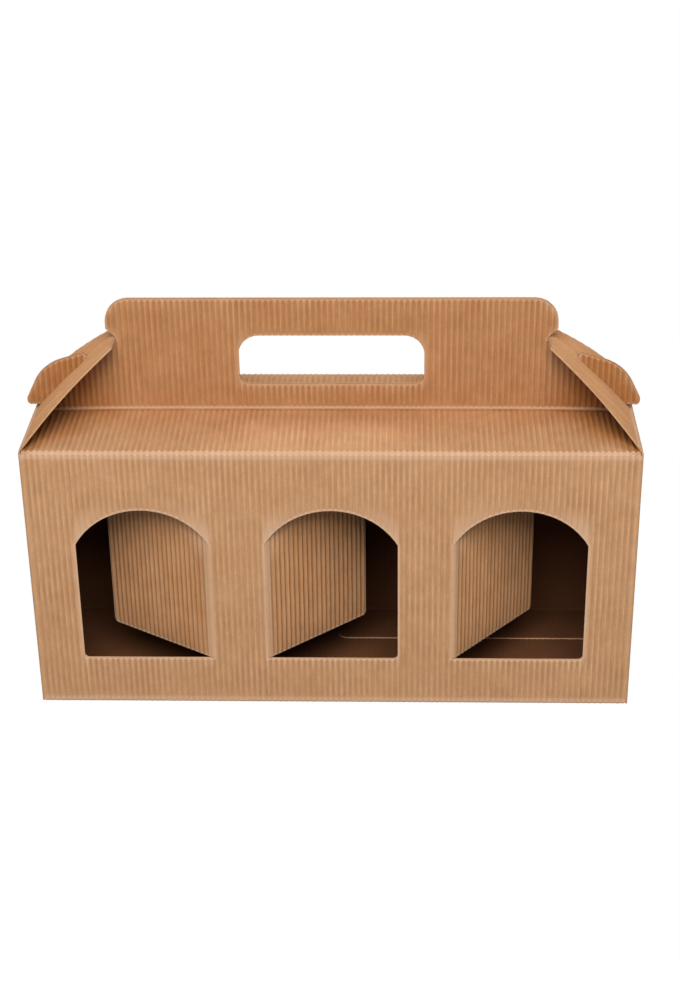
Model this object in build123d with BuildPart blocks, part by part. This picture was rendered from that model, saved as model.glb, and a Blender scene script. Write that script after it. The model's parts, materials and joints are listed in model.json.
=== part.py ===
"""Carrying gift box for three small bottles, folded from one die-cut blank of single-face corrugated board.

The flutes face outwards and the smooth liner faces inwards. The walls stand on an auto-lock bottom, two roof
halves fold up into a double carrying handle, each end flap is slit and hooks over the ears of the handle, and
three arched window flaps fold inwards as dividers between the bottles.
"""

import os
from math import acos, cos, degrees, radians, sin

from build123d import *

# Box, in millimetres, with the front at -Y and the length along X
carton_length = 250.0
carton_depth = 78.0
roof_height = 120.0

# Board
liner_thickness = 0.4
flute_height = 0.8
flute_pitch = 2.38
crushed_strip = 2.0

# Windows in the front wall, each cut on three sides and hinged on the fourth
window_width = 54.7
window_spacing = 77.4
window_sill = 22.8
window_straight_height = 54.5
window_arch_rise = 16.0
window_corner_radius = 2.0
left_window_flap_angle = 33.0
middle_window_flap_angle = 42.0
right_window_flap_angle = 50.0

# Handle above the roof
handle_rise = 50.0
handle_inset = 33.0
handle_corner_radius = 10.0
handle_base_inset = 7.0
handle_gap = 0.3
handle_hole_width = 76.0
handle_hole_height = 21.8
handle_hole_sill = 12.2
handle_hole_upper_radius = 8.5
handle_hole_lower_radius = 4.7

# Ears at the foot of the handle, seen from the hinge of the end flap
ear_lift = 3.0
ear_top_angle = 51.0
ear_shoulder_angle = 77.0
ear_tip_angle = 106.0
ear_shoulder_share = 0.62
ear_tip_share = 0.24
ear_shoulder_radius = 9.0
ear_corner_radius = 2.0

# End flaps
end_flap_angle = 43.0
end_flap_length = 49.0
end_flap_tip_width = 24.0
end_flap_slit_start = 1.6
end_flap_slit_end = 35.2

# Bottom and glued seam
bottom_lap_reach = 28.0
bottom_lap_corner_radius = 5.0
bottom_seam_inset = 14.0
glue_lap_width = 18.0
glue_lap_slant = 6.0

# Clearances
fold_clearance = 0.3
slit_clearance = 0.4
cut_overrun = 5.0

# Sizes that follow from these
board_thickness = liner_thickness + flute_height
bead_radius = board_thickness / 2
inner_length = carton_length - 2 * board_thickness
inner_depth = carton_depth - 2 * board_thickness
valley_length = carton_length - 2 * flute_height
valley_depth = carton_depth - 2 * flute_height
roof_underside = roof_height - board_thickness
wall_top = roof_underside + liner_thickness / 2
roof_length = inner_length - 2 * fold_clearance
roof_depth = inner_depth + liner_thickness
handle_width = carton_length - 2 * handle_inset
handle_base_width = carton_length - 2 * handle_base_inset
handle_thickness = 2 * board_thickness + handle_gap
end_hinge_x = carton_length / 2 - bead_radius
end_hinge_z = wall_top + fold_clearance + bead_radius
window_hinge_y = -carton_depth / 2 + bead_radius
ear_radius = end_flap_slit_end - slit_clearance


def fluted_edge(half_run, wall_run):
    """Points of the corrugated face along a centred run, in step with the flutes of the wall.

    Each flute rises from a valley to its crest and falls to the next valley, and a wall starts in a valley.
    """
    slope_run = wall_run / round(wall_run / flute_pitch) / 2
    reach = int((half_run + wall_run / 2) / slope_run) + 1
    turns = [number * slope_run - wall_run / 2 for number in range(-reach, reach + 1)]
    inside = [along for along in turns if abs(along) < half_run]
    edge = []
    for along in [-half_run, *inside, half_run]:
        phase = ((along + wall_run / 2) / slope_run) % 2
        edge.append((along, flute_height * (1 - abs(1 - phase))))
    return edge


def board_section(half_run, wall_run):
    """Closed section of the board across its flutes, centred on its run and thickness, crests on top."""
    valley = bead_radius - flute_height
    top = [(along, valley + rise) for along, rise in fluted_edge(half_run, wall_run)]
    return [(half_run, -bead_radius), (-half_run, -bead_radius), *top]


def wall_outline():
    """Plan of the four walls: the valley rectangle with a fluted edge raised outwards on each side."""
    corner_x = valley_length / 2
    corner_y = valley_depth / 2
    long_edge = fluted_edge(corner_x, valley_length)[1:]
    short_edge = fluted_edge(corner_y, valley_depth)[1:]
    front = [(along, -corner_y - rise) for along, rise in long_edge]
    right = [(corner_x + rise, along) for along, rise in short_edge]
    back = [(-along, corner_y + rise) for along, rise in long_edge]
    left = [(-corner_x - rise, -along) for along, rise in short_edge]
    return front + right + back + left


def from_end_hinge(radius, angle):
    """Point in the plane of the handle at a distance from the right end hinge and an angle above the roof."""
    return (
        end_hinge_x - radius * cos(radians(angle)),
        end_hinge_z + radius * sin(radians(angle)),
    )


def arched_window(width, sill, straight_height, corner_radius):
    """Arched opening that starts at the origin and runs along +X, its free lower corner rounded."""
    with BuildSketch() as window:
        with BuildLine():
            sides = Polyline(
                (0, sill + straight_height), (0, sill), (width, sill), (width, sill + straight_height)
            )
            ThreePointArc(
                sides @ 1, (width / 2, sill + straight_height + window_arch_rise), sides @ 0
            )
        make_face()
        lower = window.vertices().group_by(Axis.Y)[0]
        fillet(lower.sort_by(Axis.X)[-1], corner_radius)
    return window.sketch


# Handle: both panels in one outline, with a hole for the hand and an ear at each foot
shoulder_drop = bead_radius + fold_clearance
tip_radius = end_flap_length + fold_clearance
shoulder_x = shoulder_drop * sin(radians(end_flap_angle))
shoulder_z = -shoulder_drop * cos(radians(end_flap_angle))
notch_foot = Vector(*from_end_hinge(tip_radius, end_flap_angle)) + Vector(-shoulder_x, shoulder_z)
ear_root = Vector(*from_end_hinge(ear_radius, end_flap_angle)) + Vector(-shoulder_x, shoulder_z)
ear_top = Vector(*from_end_hinge(ear_radius, ear_top_angle))
ear_shoulder = Vector(*from_end_hinge(ear_radius * ear_shoulder_share, ear_shoulder_angle))
ear_tip = Vector(*from_end_hinge(ear_radius * ear_tip_share, ear_tip_angle))
notch_reach = end_hinge_x - handle_width / 2
notch_top_angle = degrees(acos(notch_reach / tip_radius))
notch_top = Vector(*from_end_hinge(tip_radius, notch_top_angle))
notch_middle = Vector(*from_end_hinge(tip_radius, (end_flap_angle + notch_top_angle) / 2))
ear_bottom = roof_height + ear_lift
handle_foot = wall_top
handle_top = roof_height + handle_rise

with BuildPart() as handle:
    with BuildSketch(Plane.XY.offset(handle_foot)):
        with BuildLine():
            face = fluted_edge(ear_tip.X, valley_length)
            back_face = [(x, y + handle_thickness / 2 - flute_height) for x, y in face]
            front_face = [(x, -y) for x, y in reversed(back_face)]
            Polyline(*back_face, *front_face, close=True)
        make_face()
    extrude(amount=handle_top - handle_foot)
    with BuildSketch(Plane.XZ) as handle_outline:
        with BuildLine():
            Polyline(
                (0, handle_foot),
                (handle_base_width / 2, handle_foot),
                (handle_base_width / 2, ear_bottom),
                (ear_tip.X, ear_bottom),
                (ear_tip.X, ear_tip.Y),
                (ear_shoulder.X, ear_shoulder.Y),
                (ear_top.X, ear_top.Y),
                (ear_root.X, ear_root.Y),
                (notch_foot.X, notch_foot.Y),
            )
            ThreePointArc(
                (notch_foot.X, notch_foot.Y), (notch_middle.X, notch_middle.Y), (notch_top.X, notch_top.Y)
            )
            Polyline(
                (notch_top.X, notch_top.Y),
                (handle_width / 2, handle_top),
                (0, handle_top),
                (0, handle_foot),
            )
        make_face()
        corner = handle_outline.vertices().sort_by_distance((handle_width / 2, handle_top))[0]
        fillet(corner, handle_corner_radius)
        corner = handle_outline.vertices().sort_by_distance((ear_tip.X, ear_bottom))[0]
        fillet(corner, ear_corner_radius)
        corner = handle_outline.vertices().sort_by_distance((ear_shoulder.X, ear_shoulder.Y))[0]
        fillet(corner, ear_shoulder_radius)
        mirror(about=Plane.YZ)
        with BuildSketch(mode=Mode.PRIVATE) as hand_hole:
            with Locations((0, roof_height + handle_hole_sill + handle_hole_height / 2)):
                Rectangle(handle_hole_width, handle_hole_height)
            fillet(hand_hole.vertices().group_by(Axis.Y)[-1], handle_hole_upper_radius)
            fillet(hand_hole.vertices().group_by(Axis.Y)[0], handle_hole_lower_radius)
        add(hand_hole.sketch, mode=Mode.SUBTRACT)
    extrude(amount=handle_thickness, both=True, mode=Mode.INTERSECT)

# Carton: walls, bottom, roof and handle in one folded piece
window_starts = {
    "left": window_width / 2 - window_spacing,
    "middle": -window_width / 2,
    "right": window_spacing - window_width / 2,
}
window_sides = {"left": -1, "middle": 1, "right": 1}
window_cut = arched_window(window_width, window_sill, window_straight_height, window_corner_radius)
lap_edge = carton_depth / 2 - bottom_lap_reach
bottom_seam = carton_depth / 2 - bottom_seam_inset

with BuildPart() as carton:
    with BuildSketch():
        with BuildLine():
            Polyline(*wall_outline(), close=True)
        make_face()
    extrude(amount=wall_top)
    with BuildSketch(Plane.XY.offset(board_thickness)):
        Rectangle(inner_length, inner_depth)
    extrude(amount=wall_top, mode=Mode.SUBTRACT)

    # Auto-lock bottom: the back flap laps over the front one on the right, and the front flap on the left
    with BuildSketch(Plane.XY.offset(liner_thickness)) as bottom_lap:
        with Locations((0, lap_edge)):
            Rectangle(
                (inner_length + liner_thickness) / 2,
                (inner_depth + liner_thickness) / 2 - lap_edge,
                align=(Align.MIN, Align.MIN),
            )
        corner = bottom_lap.vertices().sort_by_distance((0, lap_edge))[0]
        fillet(corner, bottom_lap_corner_radius)
        add(bottom_lap.sketch, rotation=180)
    extrude(amount=2 * board_thickness - liner_thickness)

    # Underside: each lapping flap slopes up from its wall to the seam, where it lies on the other flap
    for side in (1, -1):
        with BuildSketch(Plane.YZ):
            with BuildLine():
                Polyline(
                    (side * inner_depth / 2, 0),
                    (side * bottom_seam, board_thickness),
                    (side * bottom_seam, 0),
                    close=True,
                )
            make_face()
        extrude(amount=side * inner_length / 2, mode=Mode.SUBTRACT)

    # Glued seam: the lap of the back wall on the inside of the left end wall
    with BuildSketch(Plane.YZ.offset(-(inner_length + liner_thickness) / 2)):
        with BuildLine():
            seam_back = (inner_depth + liner_thickness) / 2
            seam_front = seam_back - glue_lap_width
            Polyline(
                (seam_back, 2 * board_thickness),
                (seam_back, roof_underside - fold_clearance),
                (seam_front, roof_underside - fold_clearance - glue_lap_slant),
                (seam_front, 2 * board_thickness + glue_lap_slant),
                close=True,
            )
        make_face()
    extrude(amount=board_thickness + liner_thickness / 2)

    # Windows through the front wall
    with BuildSketch(Plane.XZ.offset(carton_depth / 2 + cut_overrun)):
        for name, start in window_starts.items():
            with Locations((start, 0)):
                if window_sides[name] > 0:
                    add(window_cut)
                else:
                    add(mirror(window_cut, about=Plane.YZ, mode=Mode.PRIVATE))
    extrude(amount=-board_thickness - 2 * cut_overrun, mode=Mode.SUBTRACT)

    # Roof, the handle on it and the fold between the two halves
    with BuildSketch(Plane.XZ):
        with BuildLine():
            section = board_section(roof_length / 2, valley_length)
            Polyline(*[(x, z + roof_height - bead_radius) for x, z in section], close=True)
        make_face()
    extrude(amount=roof_depth / 2, both=True)
    add(handle.part)
    with BuildSketch(Plane.XY.offset(roof_underside - cut_overrun)):
        Rectangle(carton_length + carton_depth, handle_gap)
    extrude(amount=handle_top - roof_underside + 2 * cut_overrun, mode=Mode.SUBTRACT)

# Window flap: the cut-out of a window, its hinge edge crushed to a round bead that stands on the origin
flap_reach = window_width - 2 * fold_clearance - bead_radius
flap_straight_height = window_straight_height - board_thickness - fold_clearance
flap_sill = window_sill + fold_clearance
flap_outline = arched_window(flap_reach, flap_sill, flap_straight_height, window_corner_radius)
flap_top = window_sill + window_straight_height + window_arch_rise

with BuildPart() as window_flap:
    with BuildSketch(Plane.XY.offset(window_sill)):
        with BuildLine():
            section = board_section(flap_reach / 2, flap_reach)
            Polyline(*[(x + flap_reach / 2, -y) for x, y in section], close=True)
        make_face()
    extrude(amount=flap_top)
    with BuildSketch(Plane.XZ):
        add(flap_outline)
    extrude(amount=board_thickness, both=True, mode=Mode.INTERSECT)
    with BuildSketch(Plane.XY.offset(flap_sill)):
        Circle(bead_radius)
    extrude(amount=flap_straight_height)

# End flap: a slit trapezoid whose hinge edge, crushed to a plain strip with a round bead, lies on the origin
end_flap_width = carton_depth - 2 * flute_height - 2 * fold_clearance
end_flap_slit_width = handle_thickness + 2 * slit_clearance

with BuildPart() as end_flap:
    with BuildSketch(Plane.YZ):
        with BuildLine():
            Polyline(*board_section(end_flap_width / 2, valley_depth), close=True)
        make_face()
    extrude(amount=end_flap_length)
    with BuildSketch(Plane.XZ):
        with Locations((crushed_strip / 2, 0)):
            Rectangle(crushed_strip, board_thickness)
    extrude(amount=end_flap_width / 2, both=True)
    with BuildSketch():
        with BuildLine():
            Polyline(
                (0, -end_flap_width / 2),
                (end_flap_length, -end_flap_tip_width / 2),
                (end_flap_length, end_flap_tip_width / 2),
                (0, end_flap_width / 2),
                close=True,
            )
        make_face()
        with Locations((end_flap_slit_start, 0)):
            Rectangle(
                end_flap_slit_end - end_flap_slit_start,
                end_flap_slit_width,
                align=(Align.MIN, Align.CENTER),
                mode=Mode.SUBTRACT,
            )
    extrude(amount=board_thickness, both=True, mode=Mode.INTERSECT)
    with BuildSketch(Plane.XZ):
        Circle(bead_radius)
    extrude(amount=end_flap_width / 2, both=True)

os.makedirs("parts", exist_ok=True)
carton.part.label = "carton"
export_step(carton.part, "parts/carton.step")

window_flap_angles = {
    "left": left_window_flap_angle,
    "middle": middle_window_flap_angle,
    "right": right_window_flap_angle,
}
for name, angle in window_flap_angles.items():
    side = window_sides[name]
    hinge_x = window_starts[name] + side * (fold_clearance + bead_radius)
    blank = window_flap.part if side > 0 else mirror(window_flap.part, about=Plane.YZ)
    with BuildPart() as placed_flap:
        with Locations(Location((hinge_x, window_hinge_y, 0), (0, 0, side * angle))):
            add(blank)
    placed_flap.part.label = f"{name}_window_flap"
    export_step(placed_flap.part, f"parts/{name}_window_flap.step")

for name, side in {"left": -1, "right": 1}.items():
    blank = end_flap.part if side < 0 else mirror(end_flap.part, about=Plane.YZ)
    with BuildPart() as placed_flap:
        with Locations(Location((side * end_hinge_x, 0, end_hinge_z), (0, side * end_flap_angle, 0))):
            add(blank)
    placed_flap.part.label = f"{name}_end_flap"
    export_step(placed_flap.part, f"parts/{name}_end_flap.step")
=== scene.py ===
import json
from math import cos, degrees, pi, radians, sin, tan

import bpy
import numpy as np
from mathutils import Matrix, Vector


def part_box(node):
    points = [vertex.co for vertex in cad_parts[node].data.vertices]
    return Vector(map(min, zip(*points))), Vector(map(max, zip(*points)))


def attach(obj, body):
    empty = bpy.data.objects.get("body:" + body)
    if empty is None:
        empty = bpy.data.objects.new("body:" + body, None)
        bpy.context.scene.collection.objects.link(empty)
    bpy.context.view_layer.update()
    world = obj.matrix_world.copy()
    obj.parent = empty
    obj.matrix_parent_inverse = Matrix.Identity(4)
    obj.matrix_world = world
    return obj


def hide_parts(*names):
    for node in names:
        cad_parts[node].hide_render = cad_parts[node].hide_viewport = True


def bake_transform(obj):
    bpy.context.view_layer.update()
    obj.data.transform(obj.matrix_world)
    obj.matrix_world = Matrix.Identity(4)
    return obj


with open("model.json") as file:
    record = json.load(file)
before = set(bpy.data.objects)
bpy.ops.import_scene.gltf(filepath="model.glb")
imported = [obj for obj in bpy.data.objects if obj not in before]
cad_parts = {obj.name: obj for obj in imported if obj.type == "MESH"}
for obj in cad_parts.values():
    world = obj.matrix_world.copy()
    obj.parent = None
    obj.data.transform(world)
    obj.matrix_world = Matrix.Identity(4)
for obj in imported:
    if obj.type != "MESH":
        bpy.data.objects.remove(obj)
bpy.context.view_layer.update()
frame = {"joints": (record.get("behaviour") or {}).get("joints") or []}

# Walls: four panels of one die-cut blank, folded to a sleeve and glued at one corner.
# The board is single-face corrugated kraft, with a smooth liner inside and bare upright flutes outside.
# Scored folds press the flutes, cutting crushes them at each edge, and three arched windows open the front.
MM = 0.001
carton_low, carton_high = (np.array(corner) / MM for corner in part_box("carton"))
hinges = {joint["child"]: np.array(joint["pos_m"]) / MM for joint in frame["joints"]}

box_length = 250.0
box_depth = carton_high[1] - carton_low[1]
roof_height = 120.0
fold_radius = 0.4

liner = 0.4
flute_height = 0.8
flute_pitch = 2.38
flute_samples = 6
flute_unevenness = 0.2
flute_seed = 5
flute_draw_count = 160
flute_draws = np.random.default_rng(flute_seed).random(flute_draw_count)
crushed_share = 0.35

board = liner + flute_height
inner_x = box_length / 2 - board
inner_y = box_depth / 2 - board
corner_x = inner_x - fold_radius
corner_y = inner_y - fold_radius
long_run = box_length - 2 * flute_height
short_run = box_depth - 2 * flute_height
roof_under = roof_height - board
wall_foot = board + fold_radius
wall_head = roof_under - fold_radius


def ease(start, end, value):
    """Smooth step: 0 before start, 1 after end, and a soft S between them."""
    share = np.clip((value - start) / (end - start), 0, 1)
    return share * share * (3 - 2 * share)


def fade(start, end, value):
    """Smooth step the other way: 1 before start and 0 after end."""
    return 1 - ease(start, end, value)


def flute_rise(along, run):
    """Height of the corrugated paper over its valleys, as a share: a raised cosine with a valley at each end
    of the run, where each flute stands lower than full height by a share drawn for its place in the row."""
    turn = (along + run / 2) / (run / round(run / flute_pitch))
    drawn = flute_draws[np.floor(turn).astype(int) % len(flute_draws)]
    return (0.5 - 0.5 * np.cos(2 * pi * turn)) * (1 - flute_unevenness * drawn)


# Marks of the scoring rule and of the cutting die, by distance from the fold or the cut
score_rows = np.array((0, 0.35, 0.8, 1.3, 2.3, 3.5, 3.9, 4.4))
line_press, line_press_fade = 0.76, (0.5, 1.4)
band_press, band_press_fade = 0.2, (3.5, 4.4)
rule_end_press, rule_end_place, rule_end_width = 0.25, 3.7, 0.35
band_pale, band_pale_fade = 0.75, (2.6, 4.2)
line_dull, line_dull_fade = 0.35, (0.5, 1.2)
rim_rows = np.array((0, 0.3, 0.7, 1.2))
rim_crush, rim_crush_fade = 0.8, (0.25, 1.15)
rim_pale_fade = (0.6, 1.3)


def score_press(distance):
    """How far a scored fold flattens the flutes at a distance from it: most in the line, a little in the
    band beside it, and again in a faint line where the scoring rule ends."""
    line = fade(*line_press_fade, distance)
    band = fade(*band_press_fade, distance)
    rule_end = np.exp(-(((distance - rule_end_place) / rule_end_width) ** 2))
    return np.minimum(line_press * line + band_press * band + rule_end_press * rule_end, 1)


def score_pale(distance):
    """How far a scored fold rubs the paper pale: a little in the line, and most in the band beside it."""
    return band_pale * fade(*band_pale_fade, distance) - line_dull * fade(*line_dull_fade, distance)


def rim_press(distance):
    """How far the cutting die crushes the flutes at a distance from a cut edge."""
    return rim_crush * fade(*rim_crush_fade, distance)


def rim_pale(distance):
    """How far the crushed rim of a cut edge shows pale."""
    return fade(*rim_pale_fade, distance)


def thickness(rise, press):
    """Board thickness: the liner plus the flute, which a press lowers to a share of its height."""
    return liner + flute_height * (rise * (1 - press) + crushed_share * press)


# Grids of points on the board, with columns across the flutes and rows along them
same_place = 0.001
clear_share = 0.4
ends_share = 0.45
outline_step = 0.3
rim_reach = 2.0
out_of_reach = 9.0


def across_flutes(low, high, run, fixed=()):
    """Places across the flutes from low to high: a set number to each flute, in step with the run, where
    each fixed place takes the place of the regular ones that lie close to it."""
    step = run / round(run / flute_pitch) / flute_samples
    count = int((high + run / 2) / step) + 2
    regular = np.arange(-count, count) * step - run / 2
    regular = regular[(regular > low) & (regular < high)]
    fixed = np.unique(np.round([low, *fixed, high], 3))
    fixed = fixed[(fixed >= low - same_place) & (fixed <= high + same_place)]
    clear = np.abs(regular[:, None] - fixed[None, :]).min(axis=1) > clear_share * step
    return np.sort(np.concatenate([regular[clear], fixed]))


def rows_between(low, high, starts, shares, ends):
    """Rows from low to high at each column: some at set distances from either end, which shrink where
    there is little room, and some at shares of the way between those."""
    low, high = (np.array(edge, float)[:, None] for edge in np.broadcast_arrays(low, high))
    fit = np.clip(ends_share * (high - low) / (starts[-1] + ends[-1]), 0, 1)
    first = low + fit * np.array(starts)
    last = high - fit * np.array(ends[::-1])
    between = first[:, -1:] + (last[:, :1] - first[:, -1:]) * np.array(shares)
    return np.concatenate([first, between, last], axis=1)


def all_cells(grid):
    """A mask that keeps every cell of a grid of points."""
    return np.ones((grid.shape[0] - 1, grid.shape[1] - 1), bool)


def arc(centre, radius, start, end, count=17):
    """Points on a circle from one angle to another, in degrees."""
    angle = np.radians(np.linspace(start, end, count))
    return np.stack([centre[0] + radius * np.cos(angle), centre[1] + radius * np.sin(angle)], axis=1)


def gap_to(outline, across, up):
    """Distance of each place from a cut outline, measured to close points along it, and a large value
    where the place lies out of reach of the crushed rim."""
    lengths = np.concatenate([[0], np.cumsum(np.hypot(*np.diff(outline, axis=0).T))])
    steps = np.linspace(0, lengths[-1], int(lengths[-1] / outline_step) + 2)
    line_x, line_z = (np.interp(steps, lengths, outline[:, axis]) for axis in (0, 1))
    near = (across > line_x.min() - rim_reach) & (across < line_x.max() + rim_reach)
    near &= (up > line_z.min() - rim_reach) & (up < line_z.max() + rim_reach)
    gap = np.full(across.shape, out_of_reach)
    gap[near] = np.hypot(across[near][:, None] - line_x, up[near][:, None] - line_z).min(axis=1)
    return gap


def board_sheet(outer, inner, keep, flute, along, pale, warm=0.0):
    """One sheet of board between two matching grids of points, with columns across the flutes and rows
    along them. Cells that keep leaves out are holes, and each edge between a kept cell and a hole is closed
    by a cut face. The thickness is the distance between the grids, and the rise is what lies over the
    liner, as a share of the flute height."""
    columns, rows = outer.shape[:2]
    index = np.arange(columns * rows).reshape(columns, rows)
    under = index + columns * rows
    faces = [
        np.stack([index[:-1, :-1], index[1:, :-1], index[1:, 1:], index[:-1, 1:]], axis=-1)[keep],
        np.stack([under[:-1, :-1], under[:-1, 1:], under[1:, 1:], under[1:, :-1]], axis=-1)[keep],
    ]
    beside = np.pad(keep, 1)
    lower = beside[1:-1, 1:] & ~beside[1:-1, :-1]
    upper = beside[1:-1, :-1] & ~beside[1:-1, 1:]
    left = beside[1:, 1:-1] & ~beside[:-1, 1:-1]
    right = beside[:-1, 1:-1] & ~beside[1:, 1:-1]
    ahead, back, up, down = index[1:, :], index[:-1, :], index[:, 1:], index[:, :-1]
    ahead_u, back_u, up_u, down_u = under[1:, :], under[:-1, :], under[:, 1:], under[:, :-1]
    faces += [
        np.stack([ahead, back, back_u, ahead_u], axis=-1)[lower],
        np.stack([back, ahead, ahead_u, back_u], axis=-1)[upper],
        np.stack([down, up, up_u, down_u], axis=-1)[left],
        np.stack([up, down, down_u, up_u], axis=-1)[right],
    ]
    points = np.concatenate([outer.reshape(-1, 3), inner.reshape(-1, 3)])
    kinds = np.repeat([0, 1, 2], [len(faces[0]), len(faces[1]), sum(map(len, faces[2:]))])
    faces = np.concatenate(faces)
    corners = points[faces]
    volume = np.einsum("ij,ij->", corners[:, 0], np.cross(corners[:, 1], corners[:, 2]))
    volume += np.einsum("ij,ij->", corners[:, 0], np.cross(corners[:, 2], corners[:, 3]))
    if volume < 0:
        faces = faces[:, ::-1]
    thick = np.linalg.norm(outer - inner, axis=2)
    given = {"flute": flute, "along": along, "pale": pale, "warm": warm, "thick": thick}
    given["rise"] = (thick - liner) / flute_height
    values = {key: np.tile(np.broadcast_to(value, thick.shape).ravel(), 2) for key, value in given.items()}
    values["height"] = np.concatenate([thick.ravel(), np.zeros(thick.size)])
    return {"points": points, "faces": faces, "kinds": kinds, "values": values}


sharp_angle = 52.0


def board_piece(name, sheets, materials):
    """Joins sheets into one mesh in metres, drops the points that no face uses, and gives the fluted face,
    the liner and the cut edges their own materials."""
    starts = np.cumsum([0] + [len(sheet["points"]) for sheet in sheets])
    faces = np.concatenate([sheet["faces"] + start for sheet, start in zip(sheets, starts)])
    used, faces = np.unique(faces, return_inverse=True)
    faces = faces.reshape(-1, 4)
    mesh = bpy.data.meshes.new(name)
    mesh.from_pydata(np.concatenate([sheet["points"] for sheet in sheets])[used] * MM, [], faces)
    kinds = np.concatenate([sheet["kinds"] for sheet in sheets]).astype(np.int32)
    mesh.polygons.foreach_set("material_index", kinds)
    for key in sheets[0]["values"]:
        attribute = mesh.attributes.new(key, "FLOAT", "POINT")
        value = np.concatenate([sheet["values"][key] for sheet in sheets])[used]
        attribute.data.foreach_set("value", value.astype(np.float32))
    mesh.polygons.foreach_set("use_smooth", np.ones(len(faces), bool))
    mesh.set_sharp_from_angle(angle=radians(sharp_angle))
    for material in materials:
        mesh.materials.append(material)
    mesh.update()
    piece = bpy.data.objects.new(name, mesh)
    bpy.context.scene.collection.objects.link(piece)
    return piece


def add_node(tree, kind, settings=None, **sockets):
    """Adds a node, sets its options, and fills or links its inputs by name, or by number as i0 and so on."""
    node = tree.nodes.new(kind)
    for key, value in (settings or {}).items():
        setattr(node, key, value)
    for key, value in sockets.items():
        socket = node.inputs[int(key[1:])] if key[0] == "i" and key[1:].isdigit() else node.inputs[key]
        if isinstance(value, bpy.types.NodeSocket):
            tree.links.new(value, socket)
        else:
            socket.default_value = value
    return node


def calc(tree, operation, first, second=0.0, third=0.0):
    """Output of a maths node on up to three values."""
    settings = {"operation": operation}
    return add_node(tree, "ShaderNodeMath", settings, i0=first, i1=second, i2=third).outputs[0]


def swing(tree, noise, amount, base):
    """A base value that swings by an amount with a noise about its middle."""
    return calc(tree, "MULTIPLY_ADD", calc(tree, "SUBTRACT", noise, 0.5), amount, base)


def mixed(tree, share, first, second, clamp=True):
    """Output of a mix between two colours, which runs on past them where it isn't clamped."""
    settings = {"data_type": "RGBA", "clamp_factor": clamp}
    return add_node(tree, "ShaderNodeMix", settings, i0=share, i6=first, i7=second).outputs[2]


def scaled(tree, colour, factor):
    """A colour times a factor."""
    node = add_node(tree, "ShaderNodeVectorMath", {"operation": "SCALE"}, Vector=colour, Scale=factor)
    return node.outputs[0]


def noise_over(tree, place, **sockets):
    """Value of a noise over a place."""
    return add_node(tree, "ShaderNodeTexNoise", Vector=place, **sockets).outputs[0]


def attribute_of(tree, name):
    """Value of one of the sheet's own attributes."""
    return add_node(tree, "ShaderNodeAttribute", {"attribute_name": name}).outputs["Fac"]


# Kraft paper: fine fibres and hairs, soft blotches that are warmer where they are dark, and for each flute a
# tone of its own that runs along it in streaks. A sheet's warm value draws its paper to the warm tone or
# past it; on the roof and handle it carries painted shade and painted bounce light.
fibre_tone, hair_tone = 0.34, 0.12
hair_height = 0.5
streak_run = 0.11
blotch_warmth = -1.0
warmth_base, warmth_gain, warmth_limit = 0.15, 0.8, 1.8
roughness_base, roughness_gain = 0.72, 0.2
grain_strength = 0.35
grain_depth = 0.12 * MM
paper_gloss = 0.18
kraft = bpy.data.node_groups.new("kraft_paper", "ShaderNodeTree")
for label, kind in (("Tone", "Color"), ("Warm tone", "Color"), ("Streaks", "Float"), ("Blotches", "Float")):
    kraft.interface.new_socket(label, in_out="INPUT", socket_type="NodeSocket" + kind)
for label, kind in (("Color", "Color"), ("Roughness", "Float"), ("Height", "Float"), ("Patch", "Float")):
    kraft.interface.new_socket(label, in_out="OUTPUT", socket_type="NodeSocket" + kind)
given = add_node(kraft, "NodeGroupInput").outputs
place = add_node(kraft, "ShaderNodeTexCoord").outputs["Object"]
fibre = noise_over(kraft, place, Scale=1100.0, Detail=6.0, Roughness=0.65)
hair = noise_over(kraft, place, Scale=3600.0, Detail=2.0, Distortion=1.5)
blotch = noise_over(kraft, place, Scale=60.0, Detail=5.0, Roughness=0.65)
patch = noise_over(kraft, place, Scale=90.0, Detail=3.0)
flute_number = calc(kraft, "FLOOR", attribute_of(kraft, "flute"))
flute_run = calc(kraft, "MULTIPLY", attribute_of(kraft, "along"), streak_run)
flute_place = add_node(kraft, "ShaderNodeCombineXYZ", X=flute_number, Y=flute_run).outputs[0]
streak = noise_over(kraft, flute_place, Scale=1.0, Detail=3.0)
tone_sum = swing(kraft, hair, hair_tone, swing(kraft, fibre, fibre_tone, 1.0))
tone_sum = swing(kraft, streak, given["Streaks"], swing(kraft, blotch, given["Blotches"], tone_sum))
warmth = swing(kraft, blotch, blotch_warmth, warmth_base)
warmth = calc(kraft, "MULTIPLY_ADD", attribute_of(kraft, "warm"), warmth_gain, warmth)
warmth = calc(kraft, "MINIMUM", calc(kraft, "MAXIMUM", warmth, 0.0), warmth_limit)
toned = scaled(kraft, mixed(kraft, warmth, given["Tone"], given["Warm tone"], clamp=False), tone_sum)
paper_height = calc(kraft, "MULTIPLY_ADD", hair, hair_height, fibre)
paper_roughness = calc(kraft, "MULTIPLY_ADD", fibre, roughness_gain, roughness_base)
add_node(kraft, "NodeGroupOutput", Color=toned, Roughness=paper_roughness, Height=paper_height, Patch=patch)


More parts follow.
